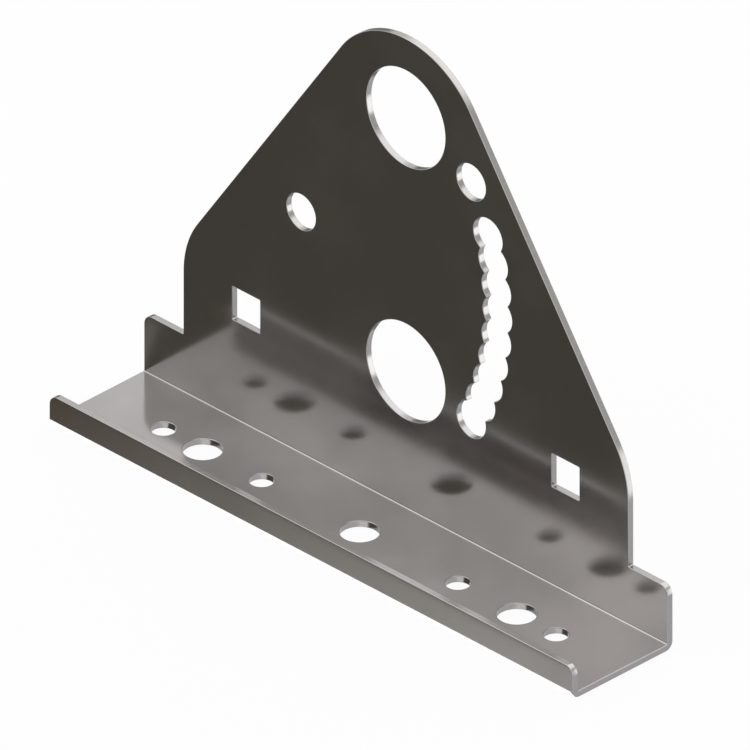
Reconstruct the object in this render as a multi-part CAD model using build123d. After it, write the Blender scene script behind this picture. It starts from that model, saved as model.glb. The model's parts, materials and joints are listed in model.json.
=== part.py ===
from build123d import *
import os
from math import isclose

# Pivot mounting bracket, folded from one sheet, in millimetres.
# +X runs along the bracket, +Y points from the lip to the upright, +Z is up.
# The origin is on the underside of the floor, at the centre of the bracket's footprint.

# Sheet, folds, and the leg of the fine chamfer that deburring leaves on every cut rim
sheet = 2.0
bend_inner = 0.5
rim_break = 0.2

# Overall size, outside faces
length = 200.0
depth = 38.0
height = 150.0
lip_height = 10.0
lip_corner = 3.0

# Upright: a full-length foot, then straight sides, shoulders and a crown
foot_height = 20.0
foot_corner = 3.0
upright_width = 170.0
shoulder_radius = 30.0
shoulder_height = 40.0
crown_radius = 30.0

# Fasteners and the room that each has in its hole
main_bolt = 10.0
main_clearance = 1.0
small_bolt = 6.0
small_clearance = 1.0
square_neck = 10.0
neck_clearance = 0.5

# Large openings on the centre line of the upright, the upper one set out from the crown's top
opening_diameter = 30.0
lower_opening_height = 45.0
upper_opening_drop = 25.0

# Pivot hole, set out from the crown's top, and the index holes on an arc about it
pivot_x = -40.0
pivot_drop = 72.0
index_radius = 75.0
index_step = 6.0
lowest_step = -5
highest_step = 3
parked_step = 5

# Square holes for carriage bolts, one on each side
square_x = 61.0
square_height = 38.0

# Row of bolt holes in the floor, set out from the face of the upright
floor_row_offset = 17.5
floor_main_x = 60.0
floor_small_inner_x = 37.5
floor_small_outer_x = 75.0

# Sizes worked out from those above
bend_outer = bend_inner + sheet
front = -depth / 2
back = depth / 2
floor_row_y = back - sheet - floor_row_offset
upper_opening_height = height - upper_opening_drop
pivot_height = height - pivot_drop
main_hole = main_bolt + main_clearance
small_hole = small_bolt + small_clearance
square_hole = square_neck + neck_clearance

# Mid-planes of the three flat runs of sheet
lip_plane = Plane((0, front + sheet / 2, 0), x_dir=(1, 0, 0), z_dir=(0, -1, 0))
upright_plane = Plane((0, back - sheet / 2, 0), x_dir=(1, 0, 0), z_dir=(0, -1, 0))
floor_plane = Plane((0, 0, sheet / 2), x_dir=(1, 0, 0), z_dir=(0, 0, 1))


def through_sheet(plane, outline):
    """Solid tool with the outline's shape that passes right through the sheet on a plane."""
    return extrude(plane.offset(-sheet) * outline, amount=2 * sheet)


def standing_rectangle(width, top):
    """Rectangle centred on X, from the underside of the floor up to a height."""
    return Rectangle(width, top, align=(Align.CENTER, Align.MIN))


def tabbed_rectangle(top, corner):
    """Full-length rectangle with its two top corners rounded."""
    blank = standing_rectangle(length, top)
    return fillet(blank.vertices().group_by(Axis.Y)[-1], corner)


def folded_strip():
    """Lip, floor and upright before trimming: one strip of sheet with two bends.

    The section's lowest corners are the outsides of the bends, and the next ones their insides.
    """
    outside = Polyline((front, lip_height), (front, 0), (back, 0), (back, height))
    section = make_face(offset(outside, sheet, side=Side.LEFT))
    section = fillet(section.vertices().group_by(Axis.Y)[1], bend_inner)
    section = fillet(section.vertices().group_by(Axis.Y)[0], bend_outer)
    return extrude(Plane.YZ.offset(-length / 2) * section, amount=length)


def upright_outline():
    """Foot, straight sides, and the hull of two shoulder arcs and the crown arc."""
    shoulder_x = upright_width / 2 - shoulder_radius
    shoulders = [
        Pos(side * shoulder_x, shoulder_height) * Circle(shoulder_radius) for side in (-1, 1)
    ]
    crown = Pos(0, height - crown_radius) * Circle(crown_radius)
    hull = make_hull((Sketch() + shoulders + crown).edges())
    sides = standing_rectangle(upright_width, shoulder_height)
    return hull + sides + tabbed_rectangle(foot_height, foot_corner)


def index_hole(step):
    """Bolt hole on the index arc, a number of steps above the pivot's level."""
    arm = Rot(0, 0, step * index_step) * Pos(index_radius, 0)
    return Pos(pivot_x, pivot_height) * arm * Circle(main_hole / 2)


def upright_openings():
    """Every opening in the upright: two large, pivot, index slot, parked hole and squares."""
    large = [
        Pos(0, centre) * Circle(opening_diameter / 2)
        for centre in (lower_opening_height, upper_opening_height)
    ]
    pivot = Pos(pivot_x, pivot_height) * Circle(main_hole / 2)
    steps = [*range(lowest_step, highest_step + 1), parked_step]
    index = [index_hole(step) for step in steps]
    squares = [
        Pos(side * square_x, square_height) * Rectangle(square_hole, square_hole)
        for side in (-1, 1)
    ]
    return Sketch() + large + pivot + index + squares


def floor_openings():
    """Row of bolt holes along the floor."""
    main = [Pos(x, floor_row_y) * Circle(main_hole / 2) for x in (-floor_main_x, 0, floor_main_x)]
    small = [
        Pos(side * x, floor_row_y) * Circle(small_hole / 2)
        for side in (-1, 1)
        for x in (floor_small_inner_x, floor_small_outer_x)
    ]
    return Sketch() + main + small


def rims(blank):
    """Edges where a cut wall meets a face of the sheet.

    The lines where a bend begins, and the corners that run through the sheet, are left out.
    """
    edges = blank.edges()
    bend_lines = edges.filter_by(Axis.X).filter_by(lambda edge: isclose(edge.length, length))
    corners = edges.filter_by(GeomType.LINE).filter_by(lambda edge: isclose(edge.length, sheet))
    return edges - bend_lines - corners


def bracket():
    """Whole bracket: folded strip, trimmed lip and upright, its holes, and broken rims."""
    lip_waste = standing_rectangle(length, lip_height) - tabbed_rectangle(lip_height, lip_corner)
    upright_waste = standing_rectangle(length, height) - upright_outline()
    blank = (
        folded_strip()
        - through_sheet(lip_plane, lip_waste)
        - through_sheet(upright_plane, upright_waste)
        - through_sheet(upright_plane, upright_openings())
        - through_sheet(floor_plane, floor_openings())
    )
    return chamfer(rims(blank), rim_break)


os.makedirs("parts", exist_ok=True)
export_step(bracket(), "parts/folded_bracket.step")
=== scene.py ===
"""Dresses the folded steel bracket and lights it in a pale studio.

The sheet is made flat, as a blank with rolled rims round its outline and its openings. Node trees repeat
the openings, close the two skins of the blank and fold it. One satin steel dresses it. The steel mirrors
what stands round it: a tent of soft cloths, and a few glowing cards near it, seen only by the steel, which
paint reflections onto it.
"""

import json
import logging
import math
from collections.abc import Iterator, Mapping, Sequence
from dataclasses import dataclass, field
from enum import Enum

import bmesh
import bpy
from mathutils import Matrix, Vector


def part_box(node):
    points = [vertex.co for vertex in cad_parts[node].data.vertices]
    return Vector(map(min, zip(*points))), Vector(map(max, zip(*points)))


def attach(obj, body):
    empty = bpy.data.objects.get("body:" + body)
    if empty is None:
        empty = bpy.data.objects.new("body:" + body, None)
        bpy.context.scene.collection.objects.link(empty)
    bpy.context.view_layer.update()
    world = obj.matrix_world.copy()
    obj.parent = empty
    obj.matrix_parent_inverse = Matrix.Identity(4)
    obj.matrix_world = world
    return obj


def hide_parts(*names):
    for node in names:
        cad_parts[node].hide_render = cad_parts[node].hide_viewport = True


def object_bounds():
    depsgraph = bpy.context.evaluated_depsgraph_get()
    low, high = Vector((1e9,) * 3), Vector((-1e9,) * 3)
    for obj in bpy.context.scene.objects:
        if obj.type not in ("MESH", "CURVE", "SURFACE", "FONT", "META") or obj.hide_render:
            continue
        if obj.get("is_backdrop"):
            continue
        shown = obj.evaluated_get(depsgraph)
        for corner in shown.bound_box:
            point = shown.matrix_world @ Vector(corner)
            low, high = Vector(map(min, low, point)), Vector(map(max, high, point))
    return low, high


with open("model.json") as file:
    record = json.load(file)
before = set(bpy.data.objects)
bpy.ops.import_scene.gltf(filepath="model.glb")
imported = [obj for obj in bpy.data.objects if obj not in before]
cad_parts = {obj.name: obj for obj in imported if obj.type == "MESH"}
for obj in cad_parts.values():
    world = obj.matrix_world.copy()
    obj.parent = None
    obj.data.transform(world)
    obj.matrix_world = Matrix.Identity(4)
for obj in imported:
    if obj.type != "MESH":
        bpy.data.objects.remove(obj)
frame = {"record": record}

LOG = logging.getLogger("bracket")
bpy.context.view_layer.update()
CAD_NODE = "folded_bracket"
BODY = "root"

MM = 0.001
CHORD_SAG = 0.003 * MM  # how far a straight step may cut across its arc
WELD = 0.001 * MM  # points nearer than this are one
STRENGTH = "__mod_weightednormals_faceweight"  # on faces, read by the Weighted Normal modifier
CUT_SHARE = "cut_share"  # on faces, 1 where the sheet was cut
CUT_LINE = "cut_line"  # on corners, the distance along the cut and the one through the sheet
SPOT = "spot"  # on a card's corners, as shares of its length and width
QUARTER = math.pi / 2
HALF = math.pi
FULL = 2 * math.pi

Tone = tuple[float, float, float]
Setting = float | int | tuple[float, ...] | bpy.types.ID | bpy.types.NodeSocket
WHITE = (1.0, 1.0, 1.0, 1.0)


def mount(name: str) -> dict:
    """One of the frame's mounts, as the record states it."""
    return next(entry for entry in frame["record"]["mounts"] if entry["name"] == name)


def mount_radius(name: str) -> float:
    """Radius that a mount states, in metres."""
    return mount(name)["dims"]["r_mm"] * MM


def link_new(name: str, data: bpy.types.ID) -> bpy.types.Object:
    """Makes an object and links it to the scene.

    Args:
        name: The object's name.
        data: Its mesh, lamp or camera.

    Returns:
        The new object.
    """
    made = bpy.data.objects.new(name, data)
    bpy.context.scene.collection.objects.link(made)
    return made


class Face(Enum):
    """The two skins of the sheet, by the side of each bend that they lie on."""

    OUTSIDE = 0
    INSIDE = 1


class Patch(Enum):
    """What a face belongs to: its strength over the normals at its corners, and whether it was cut."""

    RIM = (-1, 1.0)
    WALL = (0, 1.0)
    BEND = (0, 0.0)
    SKIN = (1, 0.0)

    @property
    def strength(self) -> int:
        """A face with more strength sets the normals that it shares."""
        return self.value[0]

    @property
    def cut_share(self) -> float:
        """1 for a cut surface, and 0 for the rolled surface of the sheet."""
        return self.value[1]


@dataclass(frozen=True)
class Sheet:
    """The sheet, its two bends, and how a place on the bracket lies on the flat blank.

    The blank lies in X and Y, with the floor in the middle, the upright towards +Y and the lip towards -Y.
    Z runs through the sheet, from its outside at 0 to its inside.
    """

    thickness: float = 2.0 * MM
    inner_radius: float = 0.5 * MM
    rim_radius: float = 0.2 * MM
    corner_radius: float = 0.25 * MM
    rim_steps: int = 5
    bend_steps: int = 16

    @property
    def length(self) -> float:
        """Length along X."""
        low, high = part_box(CAD_NODE)
        return high.x - low.x

    @property
    def depth(self) -> float:
        """Depth along Y, over the outsides of the lip and the upright."""
        low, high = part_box(CAD_NODE)
        return high.y - low.y

    @property
    def height(self) -> float:
        """Height of the upright."""
        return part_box(CAD_NODE)[1].z

    @property
    def outer_radius(self) -> float:
        """Outside radius of a bend."""
        return self.inner_radius + self.thickness

    @property
    def floor_half(self) -> float:
        """Distance from the middle of the floor to where a bend begins."""
        return self.depth / 2 - self.outer_radius

    @property
    def bend_run(self) -> float:
        """Width of a bend on the flat blank, along the middle of the sheet."""
        return (self.inner_radius + self.thickness / 2) * QUARTER

    def flat(self, height: float) -> float:
        """Distance on the blank from the middle of the floor to a height on a wall."""
        return self.floor_half + self.bend_run + height - self.outer_radius

    def bend_stops(self) -> list[float]:
        """Distances from the middle of the floor at which a bend is divided."""
        share = self.bend_run / self.bend_steps
        return [self.floor_half + share * step for step in range(self.bend_steps + 1)]

    def rim_rows(self) -> list[tuple[float, float, Patch]]:
        """Section of a cut wall and its two rolled rims, from the outside to the inside.

        Returns:
            For each row, how far it lies in from the cut, its Z, and what the faces above it are.
        """
        radius = self.rim_radius
        turns = [QUARTER * step / self.rim_steps for step in range(self.rim_steps + 1)]
        lower = [(radius * (1 - math.sin(turn)), radius * (1 - math.cos(turn)), Patch.RIM) for turn in turns]
        upper = [(inset, self.thickness - rise, Patch.RIM) for inset, rise, _ in reversed(lower)]
        return [*lower[:-1], (*lower[-1][:2], Patch.WALL), *upper]


@dataclass(frozen=True)
class Bow:
    """One arc of a cut. The metal lies to the left of it, and angles are in radians."""

    centre: tuple[float, float]
    radius: float
    start: float
    sweep: float

    def stops(self) -> Iterator[tuple[Vector, Vector]]:
        """Walks along the arc, in steps short enough to keep to it.

        Yields:
            Each point, with the direction into the metal.
        """
        half_step = math.acos(1 - CHORD_SAG / self.radius)
        count = max(2, math.ceil(abs(self.sweep) / (2 * half_step)))
        side = -1.0 if self.sweep > 0 else 1.0
        for step in range(count + 1):
            angle = self.start + self.sweep * step / count
            outward = Vector((math.cos(angle), math.sin(angle)))
            yield Vector(self.centre) + self.radius * outward, side * outward


@dataclass(frozen=True)
class Run:
    """Chosen points on a straight cut, with one direction into the metal."""

    places: tuple[tuple[float, float], ...]
    inward: tuple[float, float]

    def stops(self) -> Iterator[tuple[Vector, Vector]]:
        """The points, each with the direction into the metal."""
        for place in self.places:
            yield Vector(place), Vector(self.inward)


@dataclass
class Cut:
    """A line along which the sheet is cut, made of arcs and straight runs that meet smoothly."""

    parts: Sequence[Bow | Run]
    closed: bool = True

    def stops(self) -> list[tuple[Vector, Vector]]:
        """Walks along all the parts and leaves out repeated points.

        Returns:
            Each point in order, with the direction into the metal.
        """
        kept: list[tuple[Vector, Vector]] = []
        for part in self.parts:
            for place, inward in part.stops():
                if not kept or (place - kept[-1][0]).length > WELD:
                    kept.append((place, inward))
        if self.closed and (kept[0][0] - kept[-1][0]).length < WELD:
            kept.pop()
        return kept

    def stations(self) -> list[float]:
        """Measures how far along the cut its points lie.

        Returns:
            The distance of each point, and of the first one again if the cut is closed.
        """
        places = [place for place, _ in self.stops()]
        distances = [0.0]
        for near, far in zip(places, [*places[1:], *places[: int(self.closed)]]):
            distances.append(distances[-1] + (far - near).length)
        return distances


class FlatMesh:
    """Collects vertices and faces of the flat blank, with what each face belongs to."""

    def __init__(self) -> None:
        """Starts empty."""
        self.vertices: list[Vector] = []
        self.faces: list[tuple[int, ...]] = []
        self.patches: list[Patch] = []
        self.lines: list[tuple[float, float]] = []

    def add_grid(self, rows: Sequence[Sequence[Vector]], patches: Sequence[Patch], stations: Sequence[float],
                 closed: bool = False) -> None:
        """Adds a strip of quads.

        Args:
            rows: Rows of points, all of one length.
            patches: What the faces between each row and the next are.
            stations: Distance along a row of each point, and of the first one again if the row is closed.
            closed: Whether the last point of a row joins the first.
        """
        first, width = len(self.vertices), len(rows[0])
        self.vertices += [point for row in rows for point in row]
        for level, (below, above) in enumerate(zip(rows, rows[1:])):
            low, high = first + level * width, first + (level + 1) * width
            for place in range(width if closed else width - 1):
                following = (place + 1) % width
                self.faces.append((low + place, low + following, high + following, high + place))
                self.patches.append(patches[level])
                near, far = stations[place], stations[place + 1]
                self.lines += [(near, below[place].z), (far, below[place].z),
                               (far, above[place].z), (near, above[place].z)]

    def add_wall(self, cut: Cut, sheet: Sheet) -> None:
        """Adds the wall of a cut, with its rolled rims.

        Args:
            cut: The cut.
            sheet: The sheet that it goes through.
        """
        section = sheet.rim_rows()
        stops = cut.stops()
        rows = [[(place + inward * inset).to_3d() + Vector((0, 0, rise)) for place, inward in stops]
                for inset, rise, _ in section]
        self.add_grid(rows, [patch for _, _, patch in section], cut.stations(), cut.closed)

    def as_object(self, name: str) -> bpy.types.Object:
        """Makes an object of what was collected.

        Args:
            name: The object's name.

        Returns:
            The new object, linked to the scene.
        """
        mesh = bpy.data.meshes.new(name)
        mesh.from_pydata(self.vertices, [], self.faces)
        strengths = mesh.attributes.new(STRENGTH, "INT", "FACE")
        strengths.data.foreach_set("value", [patch.strength for patch in self.patches])
        shares = mesh.attributes.new(CUT_SHARE, "FLOAT", "FACE")
        shares.data.foreach_set("value", [patch.cut_share for patch in self.patches])
        lines = mesh.attributes.new(CUT_LINE, "FLOAT2", "CORNER")
        lines.data.foreach_set("vector", [number for line in self.lines for number in line])
        return link_new(name, mesh)


class Wiring:
    """A node tree under construction, with short ways to add nodes."""

    def __init__(self, tree: bpy.types.NodeTree) -> None:
        """Starts on a tree."""
        self.tree = tree

    def add(self, kind: str, wires: Mapping[str | int, Setting | list] | None = None,
            **options: str | bool) -> bpy.types.Node:
        """Adds a node.

        Args:
            kind: Blender's name for the node.
            wires: For inputs of the node, a value, a socket to link, or a list of sockets to link.
            options: Settings of the node itself.

        Returns:
            The new node.
        """
        node = self.tree.nodes.new(kind)
        for option, choice in options.items():
            setattr(node, option, choice)
        for key, wire in (wires or {}).items():
            for each in wire if isinstance(wire, list) else [wire]:
                if isinstance(each, bpy.types.NodeSocket):
                    self.tree.links.new(each, node.inputs[key])
                else:
                    node.inputs[key].default_value = each
        return node

    def math(self, operation: str, *terms: Setting) -> bpy.types.NodeSocket:
        """Adds a math node and gives the socket of its result."""
        return self.add("ShaderNodeMath", dict(enumerate(terms)), operation=operation).outputs[0]

    def vector(self, operation: str, *terms: Setting) -> bpy.types.NodeSocket:
        """Adds a vector math node and gives the socket of the vector that results."""
        return self.add("ShaderNodeVectorMath", dict(enumerate(terms)), operation=operation).outputs[0]


class ShapeTree(Wiring):
    """A Geometry Nodes tree with named inputs, which ends by giving all faces one material."""

    def __init__(self, name: str, inputs: Mapping[str, str]) -> None:
        """Starts a tree.

        Args:
            name: The tree's name.
            inputs: Its inputs between the geometry and the material, each name with its socket's kind.
        """
        super().__init__(bpy.data.node_groups.new(name, "GeometryNodeTree"))
        face = self.tree.interface
        face.new_socket("Geometry", in_out="INPUT", socket_type="NodeSocketGeometry")
        face.new_socket("Geometry", in_out="OUTPUT", socket_type="NodeSocketGeometry")
        self.keys = {
            label: face.new_socket(label, in_out="INPUT", socket_type=kind).identifier
            for label, kind in {**inputs, "Material": "NodeSocketMaterial"}.items()
        }
        self.source = self.tree.nodes.new("NodeGroupInput")
        self.sink = self.tree.nodes.new("NodeGroupOutput")

    def given(self, label: str = "Geometry") -> bpy.types.NodeSocket:
        """The socket of a named input."""
        return self.source.outputs[label]

    def finish(self, geometry: bpy.types.NodeSocket) -> None:
        """Realizes what is left, sets its material and closes the tree.

        Args:
            geometry: The socket of the finished geometry.
        """
        real = self.add("GeometryNodeRealizeInstances", {"Geometry": geometry})
        dressed = self.add("GeometryNodeSetMaterial", {
            "Geometry": real.outputs[0],
            "Material": self.given("Material"),
        })
        self.tree.links.new(dressed.outputs[0], self.sink.inputs[0])

    def apply(self, target: bpy.types.Object, settings: Mapping[str, Setting]) -> None:
        """Runs the tree on an object and keeps its result as the object's plain mesh.

        Args:
            target: The object.
            settings: Values of the named inputs.
        """
        modifier = target.modifiers.new(self.tree.name, "NODES")
        modifier.node_group = self.tree
        for label, value in settings.items():
            modifier[self.keys[label]] = value
        keep_evaluated(target)


def keep_evaluated(target: bpy.types.Object) -> None:
    """Gives an object its evaluated mesh and removes its modifiers.

    Args:
        target: The object.
    """
    depsgraph = bpy.context.evaluated_depsgraph_get()
    depsgraph.update()
    mesh = bpy.data.meshes.new_from_object(
        target.evaluated_get(depsgraph), preserve_all_data_layers=True, depsgraph=depsgraph
    )
    target.modifiers.clear()
    target.data = mesh


def join(objects: Sequence[bpy.types.Object]) -> bpy.types.Object:
    """Joins mesh objects into the first one.

    Args:
        objects: The objects. All but the first cease to exist.

    Returns:
        The first object.
    """
    with bpy.context.temp_override(active_object=objects[0], object=objects[0],
                                   selected_objects=objects, selected_editable_objects=objects):
        bpy.ops.object.join()
    return objects[0]


class RepeatTree(ShapeTree):
    """Repeats an opening by equal steps: along a row, about a pivot, or both."""

    def __init__(self) -> None:
        """Builds the tree."""
        super().__init__("repeated_openings", {
            "Count": "NodeSocketInt",
            "Start": "NodeSocketVector",
            "Pitch": "NodeSocketVector",
            "First turn": "NodeSocketFloat",
            "Turn": "NodeSocketFloat",
        })
        row = self.add("GeometryNodeMeshLine", {
            "Count": self.given("Count"),
            "Start Location": self.given("Start"),
            "Offset": self.given("Pitch"),
        })
        index = self.add("GeometryNodeInputIndex").outputs[0]
        turns = self.math("MULTIPLY", index, self.given("Turn"))
        angle = self.math("ADD", self.given("First turn"), turns)
        aim = self.add("ShaderNodeCombineXYZ", {"Z": angle})
        copies = self.add("GeometryNodeInstanceOnPoints", {
            "Points": row.outputs[0],
            "Instance": self.given(),
            "Rotation": aim.outputs[0],
        })
        self.finish(copies.outputs[0])


class FoldTree(ShapeTree):
    """Closes the skins of a flat blank between its rims, and folds it along its two bends."""

    def __init__(self) -> None:
        """Builds the tree."""
        super().__init__("press_brake", {
            "Thickness": "NodeSocketFloat",
            "Floor half": "NodeSocketFloat",
            "Bend run": "NodeSocketFloat",
            "Outer radius": "NodeSocketFloat",
            "Weld": "NodeSocketFloat",
        })
        skins = [self.skin(face) for face in Face]
        parts = self.add("GeometryNodeJoinGeometry", {"Geometry": [self.given(), *skins]})
        welded = self.add("GeometryNodeMergeByDistance", {
            "Geometry": parts.outputs[0],
            "Distance": self.given("Weld"),
        })
        folded = self.add("GeometryNodeSetPosition", {
            "Geometry": welded.outputs[0],
            "Position": self.folded_place(),
        })
        smooth = self.add("GeometryNodeSetShadeSmooth", {"Geometry": folded.outputs[0]})
        self.finish(smooth.outputs[0])

    def skin(self, face: Face) -> bpy.types.NodeSocket:
        """Fills one side of the blank between its open rims.

        Args:
            face: Which side.

        Returns:
            The socket of the filled faces, at their height and facing outwards.
        """
        neighbours = self.add("GeometryNodeInputMeshEdgeNeighbors").outputs[0]
        is_open = self.math("COMPARE", neighbours, 1.0, 0.5)
        place = self.add("ShaderNodeSeparateXYZ", {0: self.add("GeometryNodeInputPosition").outputs[0]})
        middle = self.math("MULTIPLY", self.given("Thickness"), 0.5)
        side = "GREATER_THAN" if face is Face.INSIDE else "LESS_THAN"
        on_side = self.math(side, place.outputs["Z"], middle)
        rims = self.add("GeometryNodeMeshToCurve", {
            "Mesh": self.given(),
            "Selection": self.math("MULTIPLY", is_open, on_side),
        })
        filled = self.add("GeometryNodeFillCurve", {"Curve": rims.outputs[0]}, mode="TRIANGLES").outputs[0]
        ranked = self.add("GeometryNodeStoreNamedAttribute", {
            "Geometry": filled,
            "Name": STRENGTH,
            "Value": Patch.SKIN.strength,
        }, data_type="INT", domain="FACE").outputs[0]
        if face is Face.OUTSIDE:
            return self.add("GeometryNodeFlipFaces", {"Mesh": ranked}).outputs[0]
        rise = self.add("ShaderNodeCombineXYZ", {"Z": self.given("Thickness")})
        return self.add("GeometryNodeTransform", {
            "Geometry": ranked,
            "Translation": rise.outputs[0],
        }).outputs[0]

    def folded_place(self) -> bpy.types.NodeSocket:
        """Works out where a place on the blank lies once it is folded.

        Returns:
            The socket of that place.
        """
        place = self.add("ShaderNodeSeparateXYZ", {0: self.add("GeometryNodeInputPosition").outputs[0]})
        along, across, through = place.outputs
        floor_half, bend_run = self.given("Floor half"), self.given("Bend run")
        outer_radius = self.given("Outer radius")
        reach = self.math("ABSOLUTE", across)
        past_floor = self.math("MAXIMUM", self.math("SUBTRACT", reach, floor_half), 0.0)
        share = self.math("MINIMUM", self.math("DIVIDE", past_floor, bend_run), 1.0)
        angle = self.math("MULTIPLY", share, QUARTER)
        climb = self.math("MAXIMUM", self.math("SUBTRACT", past_floor, bend_run), 0.0)
        radius = self.math("SUBTRACT", outer_radius, through)
        out = self.math("MULTIPLY", radius, self.math("SINE", angle))
        sunk = self.math("MULTIPLY", radius, self.math("COSINE", angle))
        depth = self.math("ADD", self.math("MINIMUM", reach, floor_half), out)
        signed = self.math("MULTIPLY", depth, self.math("SIGN", across))
        height = self.math("ADD", self.math("SUBTRACT", outer_radius, sunk), climb)
        return self.add("ShaderNodeCombineXYZ", {"X": along, "Y": signed, "Z": height}).outputs[0]


@dataclass
class Outline:
    """The outer cut of the blank: lip, ends, foot, and the tapered upright with its crown."""

    sheet: Sheet
    lip_height: float = 10.0 * MM
    lip_corner: float = 3.0 * MM
    foot_height: float = 20.0 * MM
    foot_corner: float = 3.0 * MM
    upright_width: float = 170.0 * MM
    shoulder_height: float = 40.0 * MM
    shoulder_radius: float = 30.0 * MM
    crown_radius: float = 30.0 * MM

    def end_run(self, side: int) -> Run:
        """Straight end of the blank, with a point at each division of the bends.

        Args:
            side: 1 for the end at +X, passed upwards, and -1 for the other, passed downwards.

        Returns:
            The run.
        """
        stops = self.sheet.bend_stops()
        places = sorted([*stops, *(-stop for stop in stops)], reverse=side < 0)
        end = side * self.sheet.length / 2
        return Run(tuple((end, place) for place in places), (-side, 0.0))

    def cut(self) -> Cut:
        """Draws the whole outline, counterclockwise.

        Returns:
            The closed cut, from the lip's corner at +X and round to the other one.
        """
        sheet = self.sheet
        end, corner = sheet.length / 2, sheet.corner_radius
        lip_top = -sheet.flat(self.lip_height)
        foot_top = sheet.flat(self.foot_height)
        lip_x, lip_y = end - self.lip_corner, lip_top + self.lip_corner
        foot_x, foot_y = end - self.foot_corner, foot_top - self.foot_corner
        notch_x, notch_y = self.upright_width / 2 + corner, foot_top + corner
        shoulder = Vector((self.upright_width / 2 - self.shoulder_radius, sheet.flat(self.shoulder_height)))
        crown = Vector((0.0, sheet.flat(sheet.height - self.crown_radius)))
        rise = crown - shoulder
        lean = math.atan2(-rise.x, rise.y)
        lean += math.asin((self.shoulder_radius - self.crown_radius) / rise.length)
        return Cut([
            Bow((lip_x, lip_y), self.lip_corner, -QUARTER, QUARTER),
            self.end_run(1),
            Bow((foot_x, foot_y), self.foot_corner, 0.0, QUARTER),
            Bow((notch_x, notch_y), corner, -QUARTER, -QUARTER),
            Bow((shoulder.x, shoulder.y), self.shoulder_radius, 0.0, lean),
            Bow((crown.x, crown.y), self.crown_radius, lean, HALF - 2 * lean),
            Bow((-shoulder.x, shoulder.y), self.shoulder_radius, HALF - lean, lean),
            Bow((-notch_x, notch_y), corner, 0.0, -QUARTER),
            Bow((-foot_x, foot_y), self.foot_corner, QUARTER, QUARTER),
            self.end_run(-1),
            Bow((-lip_x, lip_y), self.lip_corner, HALF, QUARTER),
        ])


@dataclass
class IndexSlot:
    """The scalloped slot: index holes so close that they run into each other, with blunted cusps."""

    sheet: Sheet
    hole_radius: float
    arc_radius: float = 75.0 * MM
    step: float = math.radians(6.0)
    lowest: int = -5
    highest: int = 3

    def cusp(self, outer: bool) -> Bow:
        """Blunt cusp half a step above a hole that lies level with the pivot.

        Args:
            outer: Whether it is on the side away from the pivot.

        Returns:
            The arc, about a pivot at the origin.
        """
        blunt = self.sheet.corner_radius
        turn = self.step / 2
        reach = math.sqrt((self.hole_radius + blunt) ** 2 - (self.arc_radius * math.sin(turn)) ** 2)
        far = self.arc_radius * math.cos(turn) + (reach if outer else -reach)
        spread = math.asin(self.arc_radius * math.sin(turn) / (self.hole_radius + blunt))
        facing = turn + HALF if outer else turn
        return Bow((far * math.cos(turn), far * math.sin(turn)), blunt, facing - spread, 2 * spread)

    def cusp_angles(self) -> tuple[float, ...]:
        """Directions from a hole, level with the pivot, to the cusps above it, the outer one first."""
        centres = (Vector(self.cusp(outer).centre) for outer in (True, False))
        return tuple(math.atan2(centre.y, centre.x - self.arc_radius) for centre in centres)

    def middle_cuts(self) -> list[Cut]:
        """Cuts both sides of a middle hole, each with the cusp above it.

        Returns:
            The side away from the pivot and the side towards it.
        """
        hole = (self.arc_radius, 0.0)
        outer, inner = self.cusp_angles()
        return [
            Cut([self.cusp(outer=True), Bow(hole, self.hole_radius, outer, -2 * outer)], closed=False),
            Cut([Bow(hole, self.hole_radius, FULL - inner, 2 * inner - FULL), self.cusp(outer=False)],
                closed=False),
        ]

    def bottom_cut(self) -> Cut:
        """Cuts the lowest hole, with both cusps above it.

        Returns:
            The open cut.
        """
        outer, inner = self.cusp_angles()
        end = Bow((self.arc_radius, 0.0), self.hole_radius, outer, inner - outer - FULL)
        return Cut([self.cusp(outer=True), end, self.cusp(outer=False)], closed=False)

    def top_cut(self) -> Cut:
        """Cuts the highest hole, between the two cusps below it.

        Returns:
            The open cut.
        """
        outer, inner = self.cusp_angles()
        end = Bow((self.arc_radius, 0.0), self.hole_radius, FULL - inner, inner - outer - FULL)
        return Cut([end], closed=False)


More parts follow.
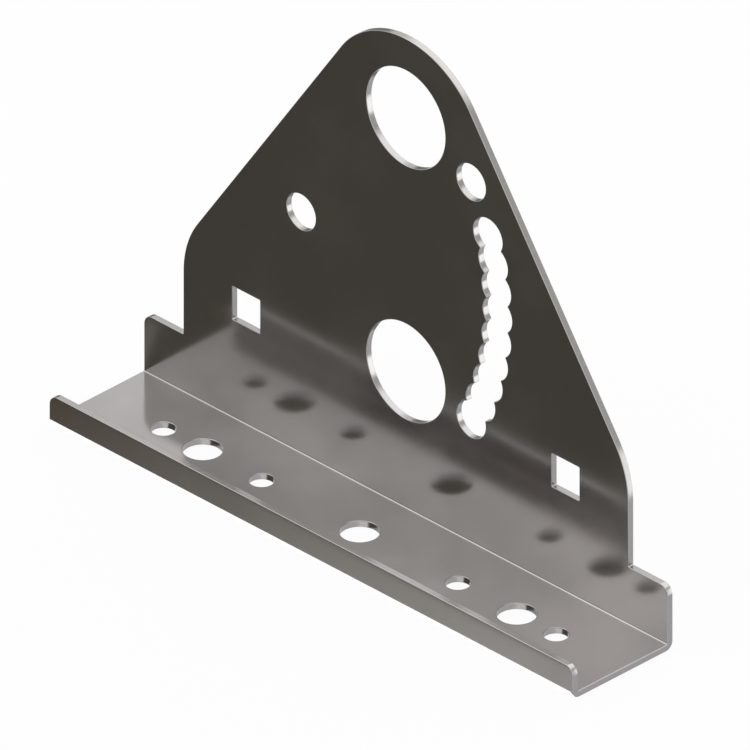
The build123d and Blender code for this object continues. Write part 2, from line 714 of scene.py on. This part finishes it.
@dataclass
class Bracket:
    """The folded bracket, with all its openings."""

    material: bpy.types.Material
    sheet: Sheet = field(default_factory=Sheet)
    square_width: float = 10.5 * MM
    repeat_tree: RepeatTree = field(default_factory=RepeatTree)
    fold_tree: FoldTree = field(default_factory=FoldTree)

    def on_blank(self, name: str) -> tuple[float, float, float]:
        """Where a mount in the upright lies on the blank."""
        x, _, z = mount(name)["pos_m"]
        return (x, self.sheet.flat(z), 0.0)

    def walls(self, name: str, cuts: Sequence[Cut]) -> bpy.types.Object:
        """Makes the walls of some cuts.

        Args:
            name: The object's name.
            cuts: The cuts.

        Returns:
            One object that holds all the walls.
        """
        mesh = FlatMesh()
        for cut in cuts:
            mesh.add_wall(cut, self.sheet)
        return mesh.as_object(name)

    def round_hole(self, name: str, radius: float) -> bpy.types.Object:
        """Wall of a round hole about the origin."""
        return self.walls(name, [Cut([Bow((0.0, 0.0), radius, 0.0, -FULL)])])

    def square_hole(self, name: str) -> bpy.types.Object:
        """Makes the wall of a square hole about the origin, its corners as sharp as the tool leaves them.

        Args:
            name: The object's name.

        Returns:
            The wall.
        """
        corner = self.sheet.corner_radius
        reach = self.square_width / 2 - corner
        places = ((reach, reach), (reach, -reach), (-reach, -reach), (-reach, reach))
        bows = [Bow(place, corner, QUARTER * (1 - turn), -QUARTER) for turn, place in enumerate(places)]
        return self.walls(name, [Cut(bows)])

    def repeat(self, opening: bpy.types.Object, start: tuple[float, float, float], count: int = 1,
               pitch: float = 0.0, first_turn: float = 0.0, turn: float = 0.0) -> bpy.types.Object:
        """Repeats an opening along X, or about its start.

        Args:
            opening: Its walls about the origin.
            start: Where the first one's origin lies on the blank.
            count: How many there are.
            pitch: Distance from one to the next.
            first_turn: How far the first one is turned.
            turn: Angle from one to the next.

        Returns:
            The same object, which now holds them all.
        """
        self.repeat_tree.apply(opening, {
            "Count": count,
            "Start": start,
            "Pitch": (pitch, 0.0, 0.0),
            "First turn": first_turn,
            "Turn": turn,
            "Material": self.material,
        })
        return opening

    def floor_row(self, name: str, mount_name: str) -> bpy.types.Object:
        """Makes the round holes in the floor that a bolt pattern states.

        Args:
            name: The object's name.
            mount_name: The pattern's name in the record.

        Returns:
            Their walls.
        """
        dims = mount(mount_name)["dims"]
        middle_x, row_y, _ = mount(mount_name)["pos_m"]
        count, pitch = dims["count"], dims["spacing_x_mm"] * MM
        hole = self.round_hole(name, dims["hole_r_mm"] * MM)
        return self.repeat(hole, (middle_x - pitch * (count - 1) / 2, row_y, 0.0), count, pitch)

    def index_walls(self) -> list[bpy.types.Object]:
        """Makes the scalloped slot.

        Returns:
            The walls of its middle holes, its lowest one and its highest one.
        """
        slot = IndexSlot(self.sheet, mount_radius("top_index_hole"))
        middle = self.walls("index_middle", slot.middle_cuts())
        bottom = self.walls("index_bottom", [slot.bottom_cut()])
        top = self.walls("index_top", [slot.top_cut()])
        spans = ((middle, slot.lowest + 1, slot.highest - slot.lowest - 1),
                 (bottom, slot.lowest, 1), (top, slot.highest, 1))
        pivot = self.on_blank("pivot_hole")
        return [
            self.repeat(part, pivot, count, first_turn=first * slot.step, turn=slot.step)
            for part, first, count in spans
        ]

    def openings(self) -> list[bpy.types.Object]:
        """Makes every opening in the blank.

        Returns:
            Their walls.
        """
        square_x, _, square_z = mount("square_holes")["pos_m"]
        square_start = (-square_x, self.sheet.flat(square_z), 0.0)
        centre_x, centre_y, _ = mount("floor_centre_hole")["pos_m"]
        centre_hole = self.round_hole("floor_centre", mount_radius("floor_centre_hole"))
        singles = [
            self.repeat(self.round_hole(name, mount_radius(name)), self.on_blank(name))
            for name in ("lower_opening", "upper_opening", "pivot_hole", "top_index_hole")
        ]
        return [
            *singles,
            self.repeat(self.square_hole("square_holes"), square_start, 2, 2 * square_x),
            self.repeat(centre_hole, (centre_x, centre_y, 0.0)),
            self.floor_row("floor_main", "floor_outer_main_holes"),
            self.floor_row("floor_outer_small", "floor_outer_small_holes"),
            self.floor_row("floor_inner_small", "floor_inner_small_holes"),
            *self.index_walls(),
        ]

    def bend_strips(self) -> bpy.types.Object:
        """Makes both skins of both bends, as flat strips between the rims of the ends.

        Returns:
            One object that holds the four strips.
        """
        mesh = FlatMesh()
        end = self.sheet.length / 2 - self.sheet.rim_radius
        stops = self.sheet.bend_stops()
        for rise, ends in ((0.0, (end, -end)), (self.sheet.thickness, (-end, end))):
            for places in (stops, [-stop for stop in reversed(stops)]):
                rows = [[Vector((x, place, rise)) for x in ends] for place in places]
                mesh.add_grid(rows, [Patch.BEND] * len(places), ends)
        return mesh.as_object("bend_strips")

    def build(self) -> bpy.types.Object:
        """Makes the flat blank, folds it and gives it true normals.

        Returns:
            The finished bracket.
        """
        outline = self.walls("folded_sheet", [Outline(self.sheet).cut()])
        blank = join([outline, self.bend_strips(), *self.openings()])
        # The fold gives the whole sheet its one slot, so the slots of the openings go.
        blank.data.materials.clear()
        blank.modifiers.new("weld", "WELD").merge_threshold = WELD
        keep_evaluated(blank)
        self.fold_tree.apply(blank, {
            "Thickness": self.sheet.thickness,
            "Floor half": self.sheet.floor_half,
            "Bend run": self.sheet.bend_run,
            "Outer radius": self.sheet.outer_radius,
            "Weld": WELD,
            "Material": self.material,
        })
        normals = blank.modifiers.new("true_normals", "WEIGHTED_NORMAL")
        normals.use_face_influence = True
        keep_evaluated(blank)
        blank.data.attributes.remove(blank.data.attributes[STRENGTH])
        return blank


class FinishTree(Wiring):
    """The shader nodes of a finish, or of the room."""

    def __init__(self, owner: bpy.types.Material | bpy.types.World) -> None:
        """Empties the owner's tree.

        Args:
            owner: The material or the world.
        """
        owner.use_nodes = True
        super().__init__(owner.node_tree)
        self.tree.nodes.clear()

    def spread(self, value: bpy.types.NodeSocket, given: tuple[float, float],
               wanted: tuple[float, float] = (0.0, 1.0)) -> bpy.types.NodeSocket:
        """Maps one range of values to another, without going past its ends.

        Args:
            value: The socket of the value.
            given: The range it is read over.
            wanted: What the two ends of that range become.

        Returns:
            The socket of the result.
        """
        return self.add("ShaderNodeMapRange", {
            "Value": value,
            "From Min": given[0],
            "From Max": given[1],
            "To Min": wanted[0],
            "To Max": wanted[1],
        }, interpolation_type="SMOOTHSTEP").outputs[0]

    def mixed_number(self, share: Setting, near: Setting, far: Setting) -> bpy.types.NodeSocket:
        """Mixes two numbers: the near one at a share of 0, the far one at 1."""
        return self.add("ShaderNodeMix", {0: share, 2: near, 3: far}, data_type="FLOAT").outputs[0]

    def mixed_colour(self, share: Setting, near: Setting, far: Setting) -> bpy.types.NodeSocket:
        """Mixes two colours: the near one at a share of 0, the far one at 1."""
        return self.add("ShaderNodeMix", {0: share, 6: near, 7: far}, data_type="RGBA").outputs[2]

    def mixed_surface(self, share: Setting, near: Setting, far: Setting) -> bpy.types.NodeSocket:
        """Mixes two surfaces: the near one at a share of 0, the far one at 1."""
        return self.add("ShaderNodeMixShader", {0: share, 1: near, 2: far}).outputs[0]

    def glow(self, colour: Setting) -> bpy.types.NodeSocket:
        """Gives the socket of a surface that shines as bright as its colour is written."""
        return self.add("ShaderNodeEmission", {"Color": colour, "Strength": 1.0}).outputs[0]

    def open_air(self) -> bpy.types.NodeSocket:
        """Gives the socket of a surface that isn't there."""
        return self.add("ShaderNodeBsdfTransparent").outputs[0]

    def seen(self) -> bpy.types.NodeSocket:
        """Tells the rays that see the white room from those that light it.

        Returns:
            The socket that is 1 for rays from the camera, and for those that metal or glass passes on.
        """
        path = self.add("ShaderNodeLightPath").outputs
        either = self.math("MAXIMUM", path["Is Camera Ray"], path["Is Glossy Ray"])
        return self.math("MAXIMUM", either, path["Is Transmission Ray"])

    def close(self, surface: bpy.types.NodeSocket) -> None:
        """Gives the finished surface to the material."""
        self.add("ShaderNodeOutputMaterial", {"Surface": surface})


def new_finish(name: str) -> tuple[bpy.types.Material, FinishTree]:
    """Makes a material and its empty tree."""
    made = bpy.data.materials.new(name)
    return made, FinishTree(made)


@dataclass(frozen=True)
class Noise:
    """A noise: how fine it is, how many finer layers it has, and how strong those are."""

    scale: float
    detail: float
    roughness: float

    def at(self, nodes: FinishTree, place: bpy.types.NodeSocket) -> bpy.types.NodeSocket:
        """Adds the noise to a finish.

        Args:
            nodes: The finish.
            place: The socket of the place that the noise is read at.

        Returns:
            The socket of its value there.
        """
        return nodes.add("ShaderNodeTexNoise", {
            "Vector": place,
            "Scale": self.scale,
            "Detail": self.detail,
            "Roughness": self.roughness,
        }).outputs[0]


@dataclass(frozen=True)
class SatinSteel:
    """Bare rolled steel with a satin sheen, a little duller and finely scored where it was cut."""

    dull: Tone = (0.412, 0.397, 0.388)
    bright: Tone = (0.464, 0.447, 0.437)
    sheen: tuple[float, float] = (0.115, 0.165)
    cut_sheen: tuple[float, float] = (0.13, 0.22)
    clouds: Noise = Noise(20.0, 4.0, 0.55)
    cloud_sheen_span: tuple[float, float] = (0.35, 0.65)
    cloud_tone_span: tuple[float, float] = (0.38, 0.62)
    grain: Noise = Noise(900.0, 3.0, 0.6)
    grain_depth: float = 0.0002 * MM
    scores: Noise = Noise(1.0, 2.0, 0.5)
    score_span: tuple[float, float] = (0.3, 0.7)
    score_pitch: float = 0.18 * MM
    score_length: float = 1.5 * MM
    score_depth: float = 0.0006 * MM

    def material(self) -> bpy.types.Material:
        """Makes the material.

        Returns:
            The material, ready to be put on a mesh that has the cut share and cut line attributes.
        """
        steel, nodes = new_finish("satin_steel")
        place = nodes.add("ShaderNodeTexCoord").outputs["Object"]
        share = nodes.add("ShaderNodeAttribute", attribute_name=CUT_SHARE).outputs["Fac"]
        line = nodes.add("ShaderNodeAttribute", attribute_name=CUT_LINE).outputs["Vector"]
        along = nodes.vector("MULTIPLY", line, (1 / self.score_pitch, 1 / self.score_length, 1.0))
        clouds, grain = self.clouds.at(nodes, place), self.grain.at(nodes, place)
        scores = self.scores.at(nodes, along)
        plain = nodes.spread(clouds, self.cloud_sheen_span, self.sheen)
        scored = nodes.spread(scores, self.score_span, self.cut_sheen)
        cloudy = nodes.spread(clouds, self.cloud_tone_span)
        streaky = nodes.spread(scores, self.score_span)
        wear = nodes.mixed_number(share, cloudy, streaky)
        depth = nodes.math("MULTIPLY", nodes.math("MULTIPLY", scores, share), self.score_depth)
        height = nodes.math("ADD", nodes.math("MULTIPLY", grain, self.grain_depth), depth)
        bump = nodes.add("ShaderNodeBump", {"Strength": 1.0, "Distance": 1.0, "Height": height}).outputs[0]
        nodes.close(nodes.add("ShaderNodeBsdfPrincipled", {
            "Base Color": nodes.mixed_colour(wear, (*self.dull, 1.0), (*self.bright, 1.0)),
            "Metallic": 1.0,
            "Roughness": nodes.mixed_number(share, plain, scored),
            "Normal": bump,
        }).outputs[0])
        return steel


def one_face(name: str, corners: Sequence[Sequence[float]]) -> bpy.types.Mesh:
    """Makes a mesh of one face.

    Args:
        name: The mesh's name.
        corners: Its four corners in order, in metres.

    Returns:
        The new mesh.
    """
    mesh = bpy.data.meshes.new(name)
    mesh.from_pydata(corners, [], [(0, 1, 2, 3)])
    return mesh


def on_stage(mesh: bpy.types.Mesh, material: bpy.types.Material) -> bpy.types.Object:
    """Stands a mesh in the studio.

    Args:
        mesh: The mesh, which gives the object its name.
        material: What it is covered with.

    Returns:
        The new object, declared as part of the stage.
    """
    mesh.materials.append(material)
    panel = link_new(mesh.name, mesh)
    panel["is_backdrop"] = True
    return panel


def only_metal_sees(panel: bpy.types.Object) -> None:
    """Hides a panel from all rays but those that metal reflects.

    Args:
        panel: The panel.
    """
    panel.visible_camera = False
    panel.visible_diffuse = False
    panel.visible_shadow = False
    panel.visible_transmission = False


@dataclass(frozen=True)
class WhiteFloor:
    """White floor just under the bracket, which keeps a faint shadow. Metal sees the white room instead."""

    half_width: float = 4.0
    drop: float = 0.4 * MM
    paper: Tone = (0.9, 0.9, 0.9)
    glow: float = 0.94

    def build(self) -> bpy.types.Object:
        """Makes the floor.

        Returns:
            The floor, declared as part of the stage.
        """
        paper, nodes = new_finish("white_floor")
        matt = nodes.add("ShaderNodeBsdfDiffuse", {"Color": (*self.paper, 1.0)}).outputs[0]
        share = nodes.math("MULTIPLY", nodes.seen(), self.glow)
        nodes.close(nodes.mixed_surface(share, matt, nodes.glow(WHITE)))
        signs = ((-1, -1), (1, -1), (1, 1), (-1, 1))
        corners = [(x * self.half_width, y * self.half_width, -self.drop) for x, y in signs]
        floor = on_stage(one_face("white_floor", corners), paper)
        floor.visible_glossy = False
        return floor


@dataclass(frozen=True)
class Cloth:
    """A round cloth with a soft edge that hangs on the tent."""

    azimuth: float
    elevation: float
    radius: float
    edge: float
    tone: Tone

    def direction(self) -> tuple[float, float, float]:
        """Works out where it hangs, seen from the middle of the tent. Azimuth 0 is +Y, and 90 is +X.

        Returns:
            The direction, of length 1.
        """
        azimuth, elevation = math.radians(self.azimuth), math.radians(self.elevation)
        level = math.cos(elevation)
        return (math.sin(azimuth) * level, math.cos(azimuth) * level, math.sin(elevation))

    def reach(self) -> tuple[float, float]:
        """Cosines of the angles at which its edge begins to fade in, and is whole."""
        return math.cos(math.radians(self.radius + self.edge)), math.cos(math.radians(self.radius))


@dataclass(frozen=True)
class ClothTent:
    """Round tent with cloths hung on it, which only metal reflects. Between them the white room shows."""

    radius: float = 0.85
    middle: float = 0.075
    fineness: int = 5
    cloths: tuple[Cloth, ...] = (
        Cloth(50, -50, 50, 12, (0.73, 0.72, 0.75)),
        Cloth(-25, -47, 8, 6, (0.2, 0.2, 0.2)),
        Cloth(-53, 1, 13, 9, (0.28, 0.28, 0.25)),
        Cloth(51, 15, 12, 10, (0.68, 0.66, 0.64)),
        Cloth(0, 65, 28, 20, (1.7, 1.7, 1.7)),
        Cloth(-112, 22, 16, 14, (0.8, 0.8, 0.8)),
        Cloth(-155, 30, 8, 20, (1.5, 1.5, 1.5)),
        Cloth(-131, 50, 12, 12, (1.8, 1.8, 1.8)),
        Cloth(-135, -31, 30, 12, (0.11, 0.10, 0.085)),
    )

    def build(self) -> bpy.types.Object:
        """Makes the tent.

        Returns:
            The tent, declared as part of the stage.
        """
        fabric, nodes = new_finish("cloth_tent")
        place = nodes.add("ShaderNodeTexCoord").outputs["Object"]
        centre = (0.0, 0.0, self.middle)
        facing = nodes.vector("NORMALIZE", nodes.vector("SUBTRACT", place, centre))
        tone, cover = WHITE, 0.0
        for cloth in self.cloths:
            wires = {0: facing, 1: cloth.direction()}
            near = nodes.add("ShaderNodeVectorMath", wires, operation="DOT_PRODUCT").outputs["Value"]
            mask = nodes.spread(near, cloth.reach())
            tone = nodes.mixed_colour(mask, tone, (*cloth.tone, 1.0))
            cover = nodes.math("MAXIMUM", cover, mask)
        nodes.close(nodes.mixed_surface(cover, nodes.open_air(), nodes.glow(tone)))
        form = bmesh.new()
        bmesh.ops.create_icosphere(form, subdivisions=self.fineness, radius=self.radius,
                                   matrix=Matrix.Translation(centre))
        mesh = bpy.data.meshes.new("cloth_tent")
        form.to_mesh(mesh)
        form.free()
        tent = on_stage(mesh, fabric)
        only_metal_sees(tent)
        return tent


@dataclass(frozen=True)
class GlowCard:
    """A card near the bracket, which only metal reflects, with a tone that changes along its length. It
    glows though it is no lamp, and what it shows in the steel is a painted reflection.

    Its edges, if it has soft ones, are the shares of its length and its width over which it fades out.
    """

    name: str
    corner: tuple[float, float, float]
    along: tuple[float, float, float]
    up: tuple[float, float, float]
    near_tone: Tone
    far_tone: Tone
    edges: tuple[float, float] | None = None

    def wholeness(self, nodes: FinishTree, shares: Sequence[bpy.types.NodeSocket]) -> bpy.types.NodeSocket:
        """Works out how far the card has faded out at a place.

        Args:
            nodes: The card's finish.
            shares: The sockets of the place, as shares of the card's length and width.

        Returns:
            The socket of a number that is 1 where the card is whole and 0 where it has gone.
        """
        whole = 1.0
        for share, edge in zip(shares, self.edges):
            inset = nodes.math("SUBTRACT", 0.5, nodes.math("ABSOLUTE", nodes.math("SUBTRACT", share, 0.5)))
            whole = nodes.math("MULTIPLY", whole, nodes.spread(inset, (0.0, edge)))
        return whole

    def build(self) -> bpy.types.Object:
        """Makes the card.

        Returns:
            The card, declared as part of the stage.
        """
        paper, nodes = new_finish(self.name)
        place = nodes.add("ShaderNodeAttribute", attribute_name=SPOT).outputs["Vector"]
        shares = nodes.add("ShaderNodeSeparateXYZ", {0: place}).outputs[:2]
        surface = nodes.glow(nodes.mixed_colour(shares[0], (*self.near_tone, 1.0), (*self.far_tone, 1.0)))
        if self.edges:
            surface = nodes.mixed_surface(self.wholeness(nodes, shares), nodes.open_air(), surface)
        nodes.close(surface)
        corner, along, up = Vector(self.corner), Vector(self.along), Vector(self.up)
        mesh = one_face(self.name, (corner, corner + along, corner + along + up, corner + up))
        mesh.attributes.new(SPOT, "FLOAT2", "POINT").data.foreach_set("vector", (0, 0, 1, 0, 1, 1, 0, 1))
        card = on_stage(mesh, paper)
        only_metal_sees(card)
        return card


@dataclass(frozen=True)
class SoftPanel:
    """A soft lamp that faces the bracket and lights the floor round it."""

    name: str
    direction: tuple[float, float, float]
    distance: float
    width: float
    height: float
    radiance: float

    def build(self, target: Vector) -> bpy.types.Object:
        """Makes the lamp.

        Args:
            target: What it faces.

        Returns:
            The lamp, which the camera does not see.
        """
        data = bpy.data.lights.new(self.name, "AREA")
        data.shape = "RECTANGLE"
        data.size, data.size_y = self.width, self.height
        data.energy = self.radiance * math.pi * self.width * self.height
        lamp = link_new(self.name, data)
        away = Vector(self.direction).normalized()
        lamp.location = target + away * self.distance
        lamp.rotation_euler = away.to_track_quat("Z", "Y").to_euler()
        lamp.visible_camera = False
        lamp.visible_glossy = False
        return lamp


@dataclass(frozen=True)
class Studio:
    """White room with a floor, a tent of cloths, glowing cards that the steel mirrors as painted
    reflections, and soft lamps.
    """

    level: float = 0.8
    floor: WhiteFloor = WhiteFloor()
    tent: ClothTent = ClothTent()
    cards: tuple[GlowCard, ...] = (
        # Painted highlights: a bright glowing card at the back right, no lamp and seen only in the steel,
        # puts highlights on the rounded corners of the foot and the lip at the right end.
        GlowCard("bright_card", (0.33, 0.07, -0.08), (-0.22, 0.24, 0.0), (0.0, 0.0, 0.21),
                 (1.9, 1.9, 1.9), (2.5, 2.5, 2.5), edges=(0.5, 0.2)),
        # Painted reflection: a card lying just in front of the lip, dark at the left end and light at the
        # right, makes the lip's outer face darker towards its left end.
        GlowCard("lip_card", (-0.112, -0.0306, -0.0002), (0.212, 0.0, 0.0), (0.0, 0.0098, 0.0),
                 (0.136, 0.117, 0.091), (0.63, 0.617, 0.60)),
        # Painted highlight: a bright strip right under the lip's outer bend, which the bend mirrors as a
        # bright line along the bottom of the lip.
        GlowCard("sill_card", (-0.1031, -0.0208, -0.0002), (0.2, 0.0, 0.0), (0.0028, 0.0038, 0.0),
                 (2.4, 2.4, 2.4), (2.4, 2.4, 2.4)),
        # Painted shade: a grey card under the bracket's floor stands in for the shaded ground there, as the
        # steel sees it through the floor's holes.
        GlowCard("floor_card", (-0.1, 0.0039, -0.0003), (0.2, 0.0, 0.0), (0.0, 0.012, 0.0),
                 (0.6, 0.6, 0.6), (0.45, 0.45, 0.45)),
        # Painted reflection: a small grey card off the left end gives the lower left corner of the upright a
        # lighter patch.
        GlowCard("heel_card", (-0.1252, -0.0062, -0.0002), (0.01, 0.0, 0.0), (0.0146, 0.0209, 0.0),
                 (0.26, 0.245, 0.23), (0.2, 0.185, 0.17), edges=(0.4, 0.1)),
    )
    panels: tuple[SoftPanel, ...] = (
        SoftPanel("front_panel", (-0.62, -0.55, 0.62), 1.4, 1.1, 0.9, 0.9),
        SoftPanel("top_panel", (-0.2, 0.6, 0.77), 1.4, 0.9, 0.9, 0.9),
    )

    def build(self) -> None:
        """Makes the floor, the tent, the cards, the lamps and the white room round them."""
        low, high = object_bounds()
        for part in (self.floor, self.tent, *self.cards):
            made = part.build()
            LOG.info("%s stands in the studio", made.name)
        for panel in self.panels:
            lamp = panel.build((low + high) / 2)
            LOG.info("%s lights the floor", lamp.name)
        world = bpy.data.worlds.new("white_room")
        bpy.context.scene.world = world
        nodes = FinishTree(world)
        strength = nodes.spread(nodes.seen(), (0.0, 1.0), (self.level, 1.0))
        room = nodes.add("ShaderNodeBackground", {"Color": WHITE, "Strength": strength}).outputs[0]
        nodes.add("ShaderNodeOutputWorld", {"Surface": room})


@dataclass(frozen=True)
class PhotoCamera:
    """The photograph's camera: a parallel projection from the front right, above.

    The picture is square, and the lower opening's front is centred on a pixel of it.
    """

    azimuth: float = math.radians(45.135)
    elevation: float = math.radians(31.40)
    pixels_per_mm: float = 3.7108
    picture: float = 750.0
    opening_at: tuple[float, float] = (405.76, 371.35)
    distance: float = 2.0

    def build(self) -> bpy.types.Object:
        """Makes the scene's camera.

        Returns:
            The camera, aimed so that the lower opening's front falls where the photograph has it.
        """
        away = Vector((math.sin(self.azimuth) * math.cos(self.elevation),
                       -math.cos(self.azimuth) * math.cos(self.elevation),
                       math.sin(self.elevation)))
        turn = away.to_track_quat("Z", "Y")
        right, up = turn @ Vector((1, 0, 0)), turn @ Vector((0, 1, 0))
        x, y, z = mount("lower_opening")["pos_m"]
        face = Vector((x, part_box(CAD_NODE)[1].y - Sheet().thickness, z))
        pixel = MM / self.pixels_per_mm
        aside = right * (self.picture / 2 - self.opening_at[0]) * pixel
        above = up * (self.opening_at[1] - self.picture / 2) * pixel
        data = bpy.data.cameras.new("photo_camera")
        data.type = "ORTHO"
        data.ortho_scale = self.picture * pixel
        camera = link_new("photo_camera", data)
        camera.rotation_euler = turn.to_euler()
        camera.location = face + aside + above + away * self.distance
        bpy.context.scene.camera = camera
        return camera


def main() -> None:
    """Builds, dresses and lights the bracket."""
    logging.basicConfig(level=logging.INFO, format="%(message)s")
    bracket = Bracket(SatinSteel().material()).build()
    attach(bracket, BODY)
    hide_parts(CAD_NODE)
    LOG.info("%s has %d faces", bracket.name, len(bracket.data.polygons))
    Studio().build()
    camera = PhotoCamera().build()
    LOG.info("%s takes the picture", camera.name)
    bpy.context.scene.view_settings.view_transform = "Standard"


if __name__ == "__main__":
    main()
